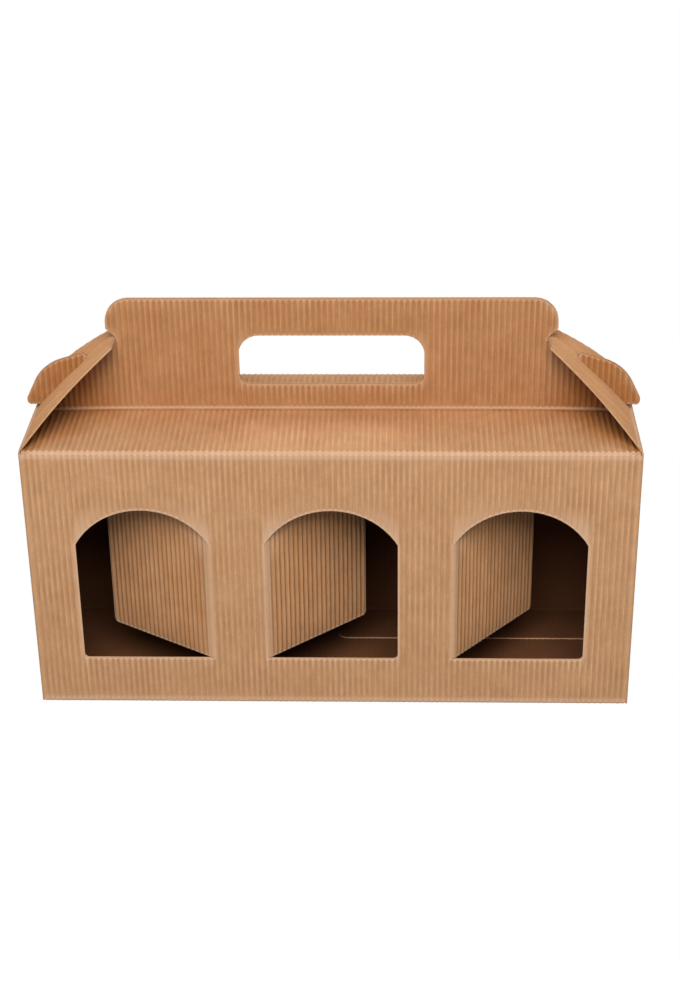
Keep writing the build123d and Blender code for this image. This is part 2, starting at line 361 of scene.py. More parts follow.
def paper_material(name, tone, warm_tone, streaks, blotches):
    """A kraft paper material with its group in place, and what a finish adds to: tree, shader and group."""
    material = bpy.data.materials.new(name)
    material.use_nodes = True
    tree = material.node_tree
    shader = tree.nodes["Principled BSDF"]
    sockets = {"Tone": tone, "Warm tone": warm_tone, "Streaks": streaks, "Blotches": blotches}
    group = add_node(tree, "ShaderNodeGroup", {"node_tree": kraft}, **sockets)
    grain = {"Strength": grain_strength, "Distance": grain_depth, "Height": group.outputs["Height"]}
    tree.links.new(add_node(tree, "ShaderNodeBump", **grain).outputs[0], shader.inputs["Normal"])
    tree.links.new(group.outputs["Roughness"], shader.inputs["Roughness"])
    shader.inputs["Specular IOR Level"].default_value = paper_gloss
    return material, tree, shader, group


# Fluted face: painted shade in the valleys of the flutes, deeper in some patches and in pressed grooves, and
# paler where a fold or a cut has pressed it
fluted_tone = (0.59, 0.332, 0.171, 1.0)
fluted_warm = (0.485, 0.230, 0.096, 1.0)
pressed_tone = (0.72, 0.47, 0.31)
contrast_base, contrast_swing = 0.28, 0.9
mid_rise, mid_shade = 0.5, 0.94
groove_shade = 0.4
pressed_shade, pressed_gain = 0.86, 0.2
most_pale = 0.75
fluted_face, tree, shader, group = paper_material(
    "fluted_kraft", fluted_tone, fluted_warm, streaks=0.34, blotches=0.09
)
rise_value = attribute_of(tree, "rise")
contrast = swing(tree, group.outputs["Patch"], contrast_swing, contrast_base)
# Painted shade: darker where the flute is low, deeper in some patches, and darker still in a pressed groove
valley = calc(tree, "MULTIPLY_ADD", calc(tree, "SUBTRACT", rise_value, mid_rise), contrast, mid_shade)
valley = calc(tree, "MULTIPLY_ADD", calc(tree, "MINIMUM", rise_value, 0.0), groove_shade, valley)
shaded = scaled(tree, group.outputs["Color"], valley)
pressed = scaled(tree, pressed_tone, calc(tree, "MULTIPLY_ADD", rise_value, pressed_gain, pressed_shade))
pale_share = calc(tree, "MULTIPLY", attribute_of(tree, "pale"), most_pale)
tree.links.new(mixed(tree, pale_share, shaded, pressed), shader.inputs["Base Color"])

# Liner: smooth, in a dark brown that paints the shade inside the box and under the flaps, with the glue
# lines of the flutes showing faintly through it
# Dark liner tones: painted shade for the inside of the box
liner_shade_tone = (0.122, 0.046, 0.018, 1.0)
liner_shade_warm = (0.1, 0.036, 0.013, 1.0)
glue_shade, glue_gain = 0.95, 0.07
liner_shade_face, tree, shader, group = paper_material(
    "smooth_liner_painted_shade", liner_shade_tone, liner_shade_warm, streaks=0.05, blotches=0.1
)
glue_line = calc(tree, "MULTIPLY_ADD", attribute_of(tree, "rise"), glue_gain, glue_shade)
tree.links.new(scaled(tree, group.outputs["Color"], glue_line), shader.inputs["Base Color"])

# Cut edge: torn fibre, with painted shade in the open hollow between the liner and the flute
cut_tone = (0.58, 0.34, 0.19, 1.0)
cut_warm = (0.48, 0.25, 0.12, 1.0)
hollow_shade_tone = (0.16, 0.075, 0.03, 1.0)
hollow_shade_depth = 0.8
liner_fray = 0.05
flute_paper = 0.28
cut_face, tree, shader, group = paper_material("cut_edge", cut_tone, cut_warm, streaks=0.0, blotches=0.2)
height_value = attribute_of(tree, "height")
over_liner = calc(tree, "GREATER_THAN", height_value, liner + liner_fray)
flute_under = calc(tree, "SUBTRACT", attribute_of(tree, "thick"), flute_paper)
in_hollow = calc(tree, "MULTIPLY", over_liner, calc(tree, "LESS_THAN", height_value, flute_under))
# Painted shade in the hollow under each flute on the cut face
hollow_shade_share = calc(tree, "MULTIPLY", in_hollow, hollow_shade_depth)
tree.links.new(mixed(tree, hollow_shade_share, group.outputs["Color"], hollow_shade_tone), shader.inputs["Base Color"])

board_faces = (fluted_face, liner_shade_face, cut_face)

# Front wall with its windows
window_width = 54.7
window_spacing = 77.4
window_sill = 22.8
window_straight = 54.5
window_rise = 16.0
window_corner = 2.0
window_places = {"left": -window_spacing, "middle": 0.0, "right": window_spacing}
window_hinge_sides = {"left": 1, "middle": -1, "right": -1}
window_springing = window_sill + window_straight
arch_radius = (window_width**2 / 4 + window_rise**2) / (2 * window_rise)
arch_half_angle = degrees(np.arcsin(window_width / 2 / arch_radius))
arch_points_count = 61
corner_points_count = 9
wall_shares = (0.33, 0.67)
opening_ends, opening_shares = (0.8,), (0.35, 0.65)
corner_rise = 0.8
corner_press, corner_press_fade = 0.3, (0.2, 1.6)
hinge_press, hinge_press_fade = 0.85, (0.2, 1.2)
hinge_pale, hinge_pale_fade = 0.6, (0.3, 1.6)


def arch_points(centre):
    """Points of a window's arch from its left foot to its right one."""
    middle = (centre, window_springing + window_rise - arch_radius)
    return arc(middle, arch_radius, 90 + arch_half_angle, 90 - arch_half_angle, arch_points_count)


def sill_points(centre, hinge_side, sill, half_width):
    """Points of a window's lower edge from left to right, rounded at the corner away from the hinge."""
    turn_from, turn_to = (180, 270) if hinge_side > 0 else (0, -90)
    middle = (centre - hinge_side * (half_width - window_corner), sill + window_corner)
    corner = arc(middle, window_corner, turn_from, turn_to, corner_points_count)
    line = np.concatenate([corner, [(centre + hinge_side * half_width, sill)]])
    return line if hinge_side > 0 else line[::-1]


sills, arches, outlines, hinge_lines, fixed = [], [], [], [], []
for window, centre in window_places.items():
    side = window_hinge_sides[window]
    free_line = centre - side * window_width / 2
    hinge_line = centre + side * window_width / 2
    sill = sill_points(centre, side, window_sill, window_width / 2)
    arch = arch_points(centre)
    outlines.append(np.concatenate([sill[::-side], arch[::side]]))
    sills.append(sill)
    arches.append(arch)
    hinge_lines.append(hinge_line)
    fixed += [*sill[:, 0], *(free_line - side * rim_rows), *(hinge_line + side * rim_rows)]

columns = across_flutes(-corner_x, corner_x, long_run, fixed)
sill_at = np.interp(columns, *np.concatenate(sills).T)
arch_at = np.interp(columns, *np.concatenate(arches).T)
foot_part = rows_between(wall_foot, sill_at, score_rows, wall_shares, rim_rows)
window_part = rows_between(sill_at, arch_at, opening_ends, opening_shares, opening_ends)
head_part = rows_between(arch_at, wall_head, rim_rows, wall_shares, score_rows)
up = np.concatenate([foot_part, window_part, head_part], axis=1)
across = np.broadcast_to(columns[:, None], up.shape)

cell_at = (columns[1:] + columns[:-1]) / 2
from_centres = np.abs(cell_at[:, None] - np.array(list(window_places.values())))
in_window = (from_centres < window_width / 2).any(axis=1)
sill_row = foot_part.shape[1] - 1
keep = all_cells(up)
keep[in_window, sill_row : sill_row + window_part.shape[1] + 1] = False

hinge_gap = np.abs(columns[:, None] - np.array(hinge_lines)).min(axis=1)[:, None]
beside_hinge = (up > window_sill) & (up < window_springing)
rim_gap = np.minimum.reduce([gap_to(outline, across, up) for outline in outlines])
fold_gap = np.minimum(up, roof_height - up)
hinge_mark = hinge_press * fade(*hinge_press_fade, hinge_gap) * beside_hinge
corner_mark = corner_press * fade(*corner_press_fade, corner_x - np.abs(across))
press = np.maximum.reduce([score_press(fold_gap), rim_press(rim_gap), hinge_mark, corner_mark])
hinge_rub = hinge_pale * fade(*hinge_pale_fade, hinge_gap) * beside_hinge
pale = np.maximum(score_pale(fold_gap), rim_pale(rim_gap) + hinge_rub)
rise_at = flute_rise(columns, long_run)
rise_at[[0, -1]] = corner_rise
outer = np.stack([across, -inner_y - thickness(rise_at[:, None], press), up], axis=-1)
inner = np.stack([across, np.full_like(up, -inner_y), up], axis=-1)
front_sheet = board_sheet(outer, inner, keep, (columns / flute_pitch)[:, None], up, pale)

# Ends and back, carried along the plan of the sleeve from the right front corner round to the left one.
# The bends beside the front start on its edges, and the ends' lower corners are a little round.
corner_turn_count = 7
corner_turns = np.linspace(0, 90, corner_turn_count)
quarters = (0.25, 0.5, 0.75)
foot_rounding, foot_rounding_fade = 0.5, (0, 3)
path = []
for corner, heading in (((1, -1), 0), ((1, 1), 90), ((-1, 1), 180), ((-1, -1), 270)):
    turns = corner_turns[int(heading > 0) : len(corner_turns) - int(heading < 270)]
    bend = np.radians(heading - 90 + turns)
    bend_normal = np.stack([np.cos(bend), np.sin(bend)], axis=1)
    base = np.array(corner) * (corner_x, corner_y) + fold_radius * bend_normal
    still = np.zeros(len(bend))
    path.append((base, bend_normal, still + corner_rise, still + corner_press, still))
    if heading == 270:
        continue
    reach, run, far = (corner_x, long_run, inner_y) if heading == 90 else (corner_y, short_run, inner_x)
    places = across_flutes(-reach, reach, run)
    outward = np.array([cos(radians(heading)), sin(radians(heading))])
    base = far * outward + places[:, None] * np.array([-outward[1], outward[0]])
    near_fold = corner_press * fade(*corner_press_fade, reach - np.abs(places))
    wall_normal = np.tile(outward, (len(places), 1))
    path.append((base, wall_normal, flute_rise(places, run), near_fold, places / flute_pitch))
base, normal, rise_at, fold_press, flute_at = (np.concatenate(parts) for parts in zip(*path))

on_back = base[:, 1] > corner_y + fold_radius / 2
corner_foot = foot_rounding * fade(*foot_rounding_fade, corner_y - np.abs(base[:, 1]))
foot_at = corner_foot + (wall_foot - corner_foot) * (1 - np.abs(normal[:, 0]))
up = rows_between(foot_at, wall_head, score_rows, quarters, score_rows)
fold_gap = np.minimum(np.where(on_back[:, None], up, roof_height), roof_height - up)
press = np.maximum(score_press(fold_gap), fold_press[:, None])
plan = base[:, None, :] + normal[:, None, :] * thickness(rise_at[:, None], press)[:, :, None]
outer = np.concatenate([plan, up[:, :, None]], axis=2)
inner = np.concatenate([np.broadcast_to(base[:, None, :], plan.shape), up[:, :, None]], axis=2)
end_and_back_sheet = board_sheet(outer, inner, all_cells(up), flute_at[:, None], up, score_pale(fold_gap))

# Glued seam: the lap of the back wall on the inside of the left end
lap_width = 18.0
lap_slant = 6.0
lap_clearance = 0.3
lap_columns = 40
lap_rows = (0, 1)
lap_places = np.linspace(inner_y - lap_width, inner_y, lap_columns)
lap_inset = lap_slant * (inner_y - lap_places) / lap_width
lap_head = roof_under - lap_clearance - lap_inset
up = rows_between(2 * board + lap_inset, lap_head, lap_rows, quarters, lap_rows)
across = np.broadcast_to(lap_places[:, None], up.shape)
outer = np.stack([np.full_like(up, -inner_x), across, up], axis=-1)
inner = outer + np.array([board, 0, 0])
glue_lap = board_sheet(outer, inner, all_cells(up), (lap_places / flute_pitch)[:, None], up, 0.0)

for name, sheets in (("front_wall", [front_sheet]), ("end_and_back_walls", [end_and_back_sheet, glue_lap])):
    wall = board_piece(name, sheets, board_faces)
    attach(wall, "carton")
    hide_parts("carton")

# Bottom: an auto-lock bottom of two flaps that hook into each other and lap, one over the other on each
# half. The lower half of a flap lies flat on its flutes, and the lapping half slopes up from its wall to
# lie on it.
seam_setback = 14.0
lap_setback = 28.0
lap_corner = 5.0
lap_corner_columns = 8
lap_air = 0.1
lap_ramp = 10.0
lap_ramp_end = 3.0
seam_edge = box_depth / 2 - seam_setback
lap_edge = box_depth / 2 - lap_setback
lap_lift = board + lap_air
fold_row_count = 6
fold_rows = np.radians(np.linspace(0, 90, fold_row_count))
fold_length = (fold_radius + board) * pi / 2
panel_shares = (0.3, 0.5, 0.7)


def bottom_flap(low_x, high_x, free_edge, lift):
    """Half of a bottom flap of the front wall: a bend under the wall, then rows in to its free edge, which
    is a function of the column. The lift, a function of column and row, raises it from the bend on."""
    corner_columns = np.linspace(-lap_corner, 0, lap_corner_columns)[1:-1]
    places = across_flutes(low_x, high_x, long_run, corner_columns)
    reach = rows_between(-corner_y, free_edge(places), score_rows[1:], panel_shares, rim_rows)
    bends = len(fold_rows)
    flat = np.pad(reach, ((0, 0), (bends, 0)), constant_values=-corner_y)
    turned = np.pad(fold_rows, (0, reach.shape[1]), constant_values=pi / 2)
    along = flat + corner_y + fold_length * (turned * 2 / pi - 1)
    fold_gap = np.abs(along + fold_length / 2)
    press = np.maximum(score_press(fold_gap), rim_press(free_edge(places)[:, None] - flat))
    thick = thickness(flute_rise(places, long_run)[:, None], press)
    across = np.broadcast_to(places[:, None], along.shape)
    lifted = lift(places[:, None], flat) * ease(-corner_y, -seam_edge, flat)
    faces = []
    for radius in (fold_radius + thick, np.full_like(thick, fold_radius)):
        up = wall_foot - np.sin(turned) * radius + lifted
        faces.append(np.stack([across, flat - np.cos(turned) * radius, up], axis=-1))
    flutes = (places / flute_pitch)[:, None]
    return board_sheet(*faces, all_cells(along), flutes, along, score_pale(fold_gap))


def seam_line(places):
    """Straight free edge of the lower half."""
    return np.full_like(places, seam_edge)


def seam_lift(places, reach):
    """Lift of the lower half: that of the lapping half where they join, and nothing a little farther on."""
    corner_row = -lap_edge - lap_corner
    return lap_lift * fade(0, lap_ramp, places) * fade(corner_row - lap_ramp_end, corner_row, reach)


def lap_line(places):
    """Free edge of the lapping half, which turns back in a rounded corner where it meets the middle."""
    inset = np.clip(places + lap_corner, 0, lap_corner)
    return -lap_edge - (lap_corner - np.sqrt(np.maximum(lap_corner**2 - inset**2, 0)))


def full_lift(places, reach):
    """Lift of the lapping half, the same all over."""
    return lap_lift


lower_half = bottom_flap(0.0, corner_x, seam_line, seam_lift)
upper_half = bottom_flap(-corner_x, 0.0, lap_line, full_lift)
half_turn = np.array([-1, -1, 1])
bottom_sheets = [lower_half, upper_half]
bottom_sheets += [{**sheet, "points": sheet["points"] * half_turn} for sheet in bottom_sheets]
carton_bottom = board_piece("carton_bottom", bottom_sheets, board_faces)
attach(carton_bottom, "carton")
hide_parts("carton")

# Roof and handle: each long wall folds over into half of the roof and up again into one panel of the handle.
# The panels stand back to back, with a hole for the hand, a notch for each end flap and an ear below it.
handle_top = carton_high[2]
handle_inset = 33.0
handle_foot_inset = 7.0
handle_corner = 10.0
handle_bend = 1.6
panel_gap = 0.15
roof_clearance = 0.3
roof_bow = 1.2
roof_bow_power = 6
hole_half = 38.0
hole_lift = 12.2
hole_height = 21.8
hole_low_corner = 4.7
hole_high_corner = 8.5
ear_lift = 3.0
ear_foot_lean = 0.3
ear_corner = 2.0
ear_rounding = 20.0
ear_rounding_count = 15
ear_top_angle, ear_shoulder_angle, ear_tip_angle = 49.5, 77.0, 110.0
ear_shoulder_share, ear_tip_share = 0.62, 0.195
ear_clearance = 0.4
flap_angle = 43.0
flap_length = 49.0
slit_end = 35.2
tip_clearance = 0.2
notch_slack = 0.3
notch_points_count = 9
handle_side = box_length / 2 - handle_inset
handle_foot_x = box_length / 2 - handle_foot_inset
roof_end = inner_x - roof_clearance
hole_low = roof_height + hole_lift
hole_high = hole_low + hole_height
ear_low = roof_height + ear_lift
end_hinge = np.abs(hinges["right_end_flap"])[[0, 2]]
tip_reach = flap_length + tip_clearance
ear_reach = slit_end - ear_clearance
notch_drop = board / 2 + roof_clearance


def from_hinge(radius, angle):
    """Point in the plane of the handle, seen from the right end hinge at an angle above the roof."""
    return end_hinge + radius * np.array([-cos(radians(angle)), sin(radians(angle))])


def rounded(before, corner, after, radius):
    """Arc of a radius that rounds the corner between two straight lines."""
    first = (before - corner) / np.linalg.norm(before - corner)
    second = (after - corner) / np.linalg.norm(after - corner)
    half = np.arccos(first @ second) / 2
    middle = corner + (first + second) / np.linalg.norm(first + second) * radius / sin(half)
    starts = corner + first * radius / tan(half) - middle
    ends = corner + second * radius / tan(half) - middle
    angles = np.degrees([np.arctan2(*starts[::-1]), np.arctan2(*ends[::-1])])
    return arc(middle, radius, *angles, ear_rounding_count)


drop = -notch_drop * np.array([sin(radians(flap_angle)), cos(radians(flap_angle))])
notch_foot = from_hinge(tip_reach, flap_angle) + drop
ear_root = from_hinge(ear_reach, flap_angle) + drop
ear_top = from_hinge(ear_reach, ear_top_angle)
ear_shoulder = from_hinge(ear_reach * ear_shoulder_share, ear_shoulder_angle)
ear_tip = from_hinge(ear_reach * ear_tip_share, ear_tip_angle)
ear_head = rounded(ear_top, ear_shoulder, ear_tip, ear_rounding)
ear_line = np.concatenate([[notch_foot, ear_root, ear_top], ear_head, [ear_tip]])
ear_foot = arc((ear_tip[0] - ear_corner, ear_low + ear_corner), ear_corner, -90, 0, corner_points_count)
panel_foot = (handle_foot_x, roof_under + handle_bend)
foot_line = np.array([panel_foot, (handle_foot_x + ear_foot_lean, ear_low), *ear_foot])
hole_sill = arc((hole_half - hole_low_corner, hole_low + hole_low_corner), hole_low_corner, -90, 0)
hole_head = arc((hole_half - hole_high_corner, hole_high - hole_high_corner), hole_high_corner, 90, 0)
top_line = arc((handle_side - handle_corner, handle_top - handle_corner), handle_corner, 90, 0)
notch_places = np.linspace(notch_foot[0], handle_side, notch_points_count)
notch_rise = np.sqrt(tip_reach**2 - (end_hinge[0] - notch_places) ** 2)
notch_line = np.stack([notch_places, end_hinge[1] + notch_rise], axis=1)
lower_top = np.concatenate([hole_sill, ear_line - [0, notch_slack / 2]])
upper_low = np.concatenate([hole_head, notch_line + [0, notch_slack / 2]])
hole_outline = np.concatenate([[(0, hole_low)], hole_sill, hole_head[::-1], [(0, hole_high)]])
panel_outline = np.concatenate([[(0, handle_top)], top_line, notch_line[::-1], ear_line, foot_line[::-1]])

# Columns from ear to ear, and rows over the wall's fold, in along the roof, round the bend and up the panel
least_step = 0.03
parked_step = 1.0
side_ends, side_shares = (0.7,), (0.5,)
lower_shares, upper_shares = (0.4,), (0.35, 0.7)
outline_places = [line[:, 0] for line in (lower_top, upper_low, foot_line, top_line)]
fixed = np.sort(np.concatenate([*outline_places, [roof_end], hole_half + rim_rows, handle_side - rim_rows]))
fixed = fixed[np.diff(fixed, prepend=-np.inf) > least_step]
places = across_flutes(-ear_tip[0], ear_tip[0], long_run, np.concatenate([-fixed, fixed]))
away = np.abs(places)
low_at, first_at, second_at, top_at = (
    np.interp(away, *line.T) for line in (foot_line, lower_top, upper_low, top_line)
)
second_at = np.where(away > handle_side, first_at + parked_step, second_at)
top_at = np.where(away > handle_side, first_at + 2 * parked_step, top_at)

bend_y = panel_gap + handle_bend
bend_start = corner_y - bend_y
bend_length = handle_bend * pi / 2
roof_y = rows_between(np.full_like(places, -corner_y), -bend_y, score_rows[1:], panel_shares, score_rows)
foot_part = rows_between(low_at, first_at, score_rows[1:], lower_shares, rim_rows)
side_part = rows_between(first_at, second_at, side_ends, side_shares, side_ends)
head_part = rows_between(second_at, top_at, rim_rows, upper_shares, rim_rows)
panel_z = np.concatenate([foot_part, side_part, head_part], axis=1)
count, bends, roofs = len(places), len(fold_rows), roof_y.shape[1]
along = [
    np.tile((fold_rows * 2 / pi - 1) * fold_length, (count, 1)),
    roof_y + corner_y,
    np.tile(bend_start + fold_rows * handle_bend, (count, 1)),
    panel_z - roof_under - handle_bend + bend_start + bend_length,
]
along = np.concatenate(along, axis=1)

cell_at = (away[1:] + away[:-1]) / 2
panel_row = 2 * bends + roofs
first_row = panel_row + foot_part.shape[1] - 1
second_row = first_row + side_part.shape[1] + 1
in_gap = (cell_at < hole_half) | ((cell_at > notch_foot[0]) & (cell_at < handle_side))
keep = all_cells(along)
keep[cell_at > roof_end, : bends + roofs] = False
keep[cell_at > handle_foot_x, bends + roofs - 1 : panel_row] = False
keep[in_gap, first_row:second_row] = False
keep[cell_at > handle_side, first_row:] = False

# Marks on the board: a rubbed line and a pressed groove at the handle's foot, pressed folds and crushed rims
bend_press = 0.8
groove_depth = 0.5
groove_half = 1.1
groove_place = 0.9
foot_line_start, foot_line_fade = (-0.7, -0.2), (0.5, 1.1)
foot_line_press, foot_line_pale = 0.9, 0.95
roof_end_fade = (0.0, 1.2)
roof_fold_narrowing = 2
handle_rim_pale = 0.4
panel_away = np.broadcast_to(away[:, None], panel_z.shape)
rim_gap = np.minimum(gap_to(hole_outline, panel_away, panel_z), gap_to(panel_outline, panel_away, panel_z))
rim_gap = np.pad(rim_gap, ((0, 0), (panel_row, 0)), constant_values=out_of_reach)
fold_gap = np.abs(along + fold_length / 2)
bend_gap = np.abs(along - (bend_start + bend_length / 2))
over_bend = along - (bend_start + bend_length)
foot_rub = ease(*foot_line_start, over_bend) * fade(*foot_line_fade, over_bend)
in_groove = fade(0, groove_half, np.abs(along - bend_start - groove_place))
end_mark = fade(*roof_end_fade, roof_end - away)[:, None] * (along <= corner_y)
fold_marks = [score_press(fold_gap), bend_press * score_press(bend_gap), rim_press(rim_gap)]
press = np.maximum.reduce([*fold_marks, foot_line_press * foot_rub, in_groove, end_mark])
pale_marks = [score_pale(roof_fold_narrowing * fold_gap), handle_rim_pale * rim_pale(rim_gap)]
pale = np.maximum.reduce([*pale_marks, foot_line_pale * foot_rub])
thick = thickness(flute_rise(places, long_run)[:, None], press) - groove_depth * in_groove

# The paper is drawn warmer and darker towards the handle as painted shade and painted bounce light from the
# roof, and most of all under the end flaps and on the ears as painted shade
handle_shade_start, handle_shade_past_foot = -4.0, 8.0
end_shade_warmth, end_shade_fade = 1.7, (0.3, 1.2)
end_shade_reach_front, end_shade_reach_back = 4.0, 60.0
panel_end_shade_height = 30.0
ear_shade_width = 14.0
handle_shade_full = corner_y + handle_shade_past_foot
end_shade_reach = end_shade_reach_front + (end_shade_reach_back - end_shade_reach_front) * np.clip(along / corner_y, 0, 1)
near_end = fade(*(share * end_shade_reach for share in end_shade_fade), (roof_end - away)[:, None])
high_on_panel = ease(handle_shade_full, corner_y + panel_end_shade_height, along)
inside_ears = fade(handle_side, handle_side + ear_shade_width, away)[:, None]
# Painted shade under the end flaps, reaching farther in towards the handle, and on the ears, fading out high
# on the panel between them
painted_end_shade = end_shade_warmth * near_end * (1 - high_on_panel * inside_ears)
warm = np.maximum(ease(handle_shade_start, handle_shade_full, along), painted_end_shade)


def top_surface(height):
    """Points of the folded top at a height over the liner: over the wall's fold, in along the roof, round
    the hollow bend at the handle's foot and up the panel. The roof bows up a little towards the handle."""
    fold, roof, bend, panel = np.split(height, np.cumsum([bends, roofs, bends]), axis=1)
    wave = fold_radius + fold
    hollow = handle_bend - bend
    y = [-corner_y - wave * np.cos(fold_rows), roof_y]
    y += [hollow * np.sin(fold_rows) - bend_y, -panel_gap - panel]
    z = [wall_head + wave * np.sin(fold_rows), roof_under + roof]
    z += [roof_under + handle_bend - hollow * np.cos(fold_rows), panel_z]
    y = np.concatenate(y, axis=1)
    z = np.concatenate(z, axis=1)
    crown = (1 - np.clip(away / roof_end, 0, 1) ** roof_bow_power)[:, None]
    under_hole = fade(roof_under + handle_bend, hole_low, z)
    z = z + roof_bow * crown * ease(-corner_y, 0, y) * under_hole
    return np.stack([np.broadcast_to(places[:, None], y.shape), y, z], axis=-1)


faces = (top_surface(thick), top_surface(np.zeros_like(thick)))
top_half = board_sheet(*faces, keep, (places / flute_pitch)[:, None], along, pale, warm)
mirror = np.array([1, -1, 1])
back_half = {**top_half, "points": top_half["points"] * mirror, "faces": top_half["faces"][:, ::-1]}
for name, sheet in (("front_roof_and_handle", top_half), ("back_roof_and_handle", back_half)):
    top_piece = board_piece(name, [sheet], board_faces)
    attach(top_piece, "carton")
    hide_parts("carton")

# Window flaps: the arched pieces cut from the front wall, each folded in on one side as a divider.
# Their flutes face the front. Each hangs on its crease, a narrow strip of the same board that the scoring
# rule has pressed, and the strip is bent to the flap's angle.
crease_half = 1.4
crease_side = np.array((0.15, 0.3, 0.45, 0.6, 0.9, crease_half))
crease_rows = np.concatenate([-crease_side[::-1], [0], crease_side])
crease_arc = 0.45
crease_pale = 0.8
x_axis, y_axis, z_axis = np.eye(3)


def crease_strip(node, line, rise, turn, hinge, wall_axis, bend_axis, line_axis):
    """A pressed strip across a fold. Its middle runs straight up the wall, turns round an arc whose tangents
    meet on the hinge, and runs straight on along the flap; its two faces lie on either side of that line."""
    radius = 2 * crease_arc / turn
    angle = np.clip((crease_rows + crease_arc) / (2 * crease_arc), 0, 1) * turn
    before = np.minimum(crease_rows + crease_arc, 0)
    beyond = np.maximum(crease_rows - crease_arc, 0)
    up_wall = -radius * tan(turn / 2) + radius * np.sin(angle) + before + beyond * cos(turn)
    off_wall = radius * (1 - np.cos(angle)) + beyond * sin(turn)
    thick = thickness(np.broadcast_to(rise, line.shape), score_press(np.abs(crease_rows)))
    faces = []
    for height in (thick - board / 2, np.full_like(thick, -board / 2)):
        on_wall = (up_wall + height * np.sin(angle))[:, :, None] * wall_axis
        on_bend = (off_wall - height * np.cos(angle))[:, :, None] * bend_axis
        faces.append(hinge + on_wall + on_bend + line[:, :, None] * line_axis)
    pale = crease_pale * score_pale(np.abs(crease_rows))
    sheet = board_sheet(*faces, all_cells(line), line / flute_pitch, crease_rows, pale)
    strip = board_piece(node + "_crease", [sheet], board_faces)
    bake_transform(strip)


def flap_faces(hinge, reach, reach_axis, line, line_axis, heights, out_axis):
    """Points of a flap's two faces: along its reach and its line from the hinge, and out by each height."""
    middle = hinge + reach[:, :, None] * reach_axis + line[:, :, None] * line_axis
    return [middle + height[:, :, None] * out_axis for height in heights]


window_flap_angles = {"left": 33.0, "middle": 42.0, "right": 50.0}
window_flap_warm = 0.75
window_flap_rim_pale = 0.7
window_crease_pale = 0.5
window_crease_fade = (crease_half, 2.4)
window_crease_rise = 0.5
window_crease_count = 30
flap_clearance = 0.3
flap_start_step = 0.1
flat_from = 0.6
hinge_inset = flap_clearance + board / 2
flap_reach = window_width - 2 * flap_clearance - board / 2
flap_sill = window_sill + flap_clearance
flap_arch = arch_points(window_width / 2 - hinge_inset) - [0, flap_clearance]
flap_foot = sill_points(flap_reach / 2, -1, flap_sill, flap_reach / 2)
free_side = [(flap_reach, flap_sill + window_corner), (flap_reach, window_springing)]
flap_outline = np.concatenate([flap_foot, free_side, flap_arch[flap_arch[:, 0] < flap_reach][::-1]])
fixed = np.concatenate([flap_foot[:, 0], flap_reach - rim_rows]) - flap_reach / 2
reach_at = across_flutes(-flap_reach / 2, flap_reach / 2, flap_reach, fixed) + flap_reach / 2
reach_at = np.concatenate([[crease_half], reach_at[reach_at > crease_half + flap_start_step]])[:, None]
low_at, high_at = (np.interp(reach_at[:, 0], *line.T) for line in (flap_foot, flap_arch))
up = rows_between(low_at, high_at, rim_rows, quarters, rim_rows)
rim_gap = gap_to(flap_outline, np.broadcast_to(reach_at, up.shape), up)
by_crease = fade(*window_crease_fade, reach_at)
press = np.maximum(rim_press(rim_gap), hinge_press * by_crease)
pale = np.maximum(window_flap_rim_pale * rim_pale(rim_gap), window_crease_pale * by_crease)
thick = thickness(flute_rise(reach_at - flap_reach / 2, flap_reach), press)
heights = (thick - board / 2, np.full_like(thick, -board / 2))

wall_side = np.interp(hinge_inset + np.clip(crease_rows, -hinge_inset, 0), *arch_points(window_width / 2).T)
flap_side = np.interp(crease_rows, *flap_arch.T)
crease_top = np.where(crease_rows > flat_from, flap_side, wall_side - flap_clearance)
crease_line = flap_sill + np.linspace(0, 1, window_crease_count)[:, None] * (crease_top - flap_sill)
for window, angle in window_flap_angles.items():
    node = f"{window}_window_flap"
    turn = radians(angle)
    hinge = hinges[node] * np.array([1, 1, 0])
    wall_axis = -window_hinge_sides[window] * x_axis
    reach_axis = cos(turn) * wall_axis + sin(turn) * y_axis
    out_axis = sin(turn) * wall_axis - cos(turn) * y_axis
    faces = flap_faces(hinge, reach_at, reach_axis, up, z_axis, heights, out_axis)
    sheet = board_sheet(*faces, all_cells(up), reach_at / flute_pitch, up, pale, window_flap_warm)
    window_flap = board_piece(node + "_board", [sheet], board_faces)
    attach(window_flap, node)
    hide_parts(node)
    crease_strip(node, crease_line, window_crease_rise, turn, hinge, wall_axis, y_axis, z_axis)

# End flaps: the tops of the end walls, folded in over the roof. Each is slit along its middle, so that it
# hooks over the ear of the handle, which bows it up and lifts a small lip at the end of the slit.
flap_tip = 24.0
flap_bow = 1.3
flap_edge_step = 0.1
slit_start = 1.6
slit_clearance = 0.4
lip_lift = 1.1
lip_place = 0.6
lip_length = 2.2
lip_half = 3.2
end_flap_warm = 0.65
end_flap_rim_pale = 0.2
slit_shares, slit_ends = (0.3, 0.55, 0.8), (0, 1.2)
flap_half = box_depth / 2 - flute_height - flap_clearance
slit_half = board + panel_gap + slit_clearance
taper = flap_length / (flap_half - flap_tip / 2)
widest = flap_half - (slit_start + flap_edge_step) / taper
fixed = np.concatenate([slit_half + rim_rows, [flap_tip / 2]])
places = across_flutes(-widest, widest, short_run, np.concatenate([-fixed, fixed]))
away = np.abs(places)
edge = np.minimum(flap_length, taper * (flap_half - away))
slit_row = slit_start + (edge - slit_start) * (slit_end - slit_start) / (flap_length - slit_start)
foot_part = np.tile([crease_half, slit_start], (len(places), 1))
slit_part = rows_between(slit_start, slit_row, score_rows[1:], slit_shares, slit_ends)
tip_part = rows_between(slit_row, edge, rim_rows[1:], upper_shares, rim_rows)
up = np.concatenate([foot_part, slit_part, tip_part], axis=1)
across = np.broadcast_to(away[:, None], up.shape)
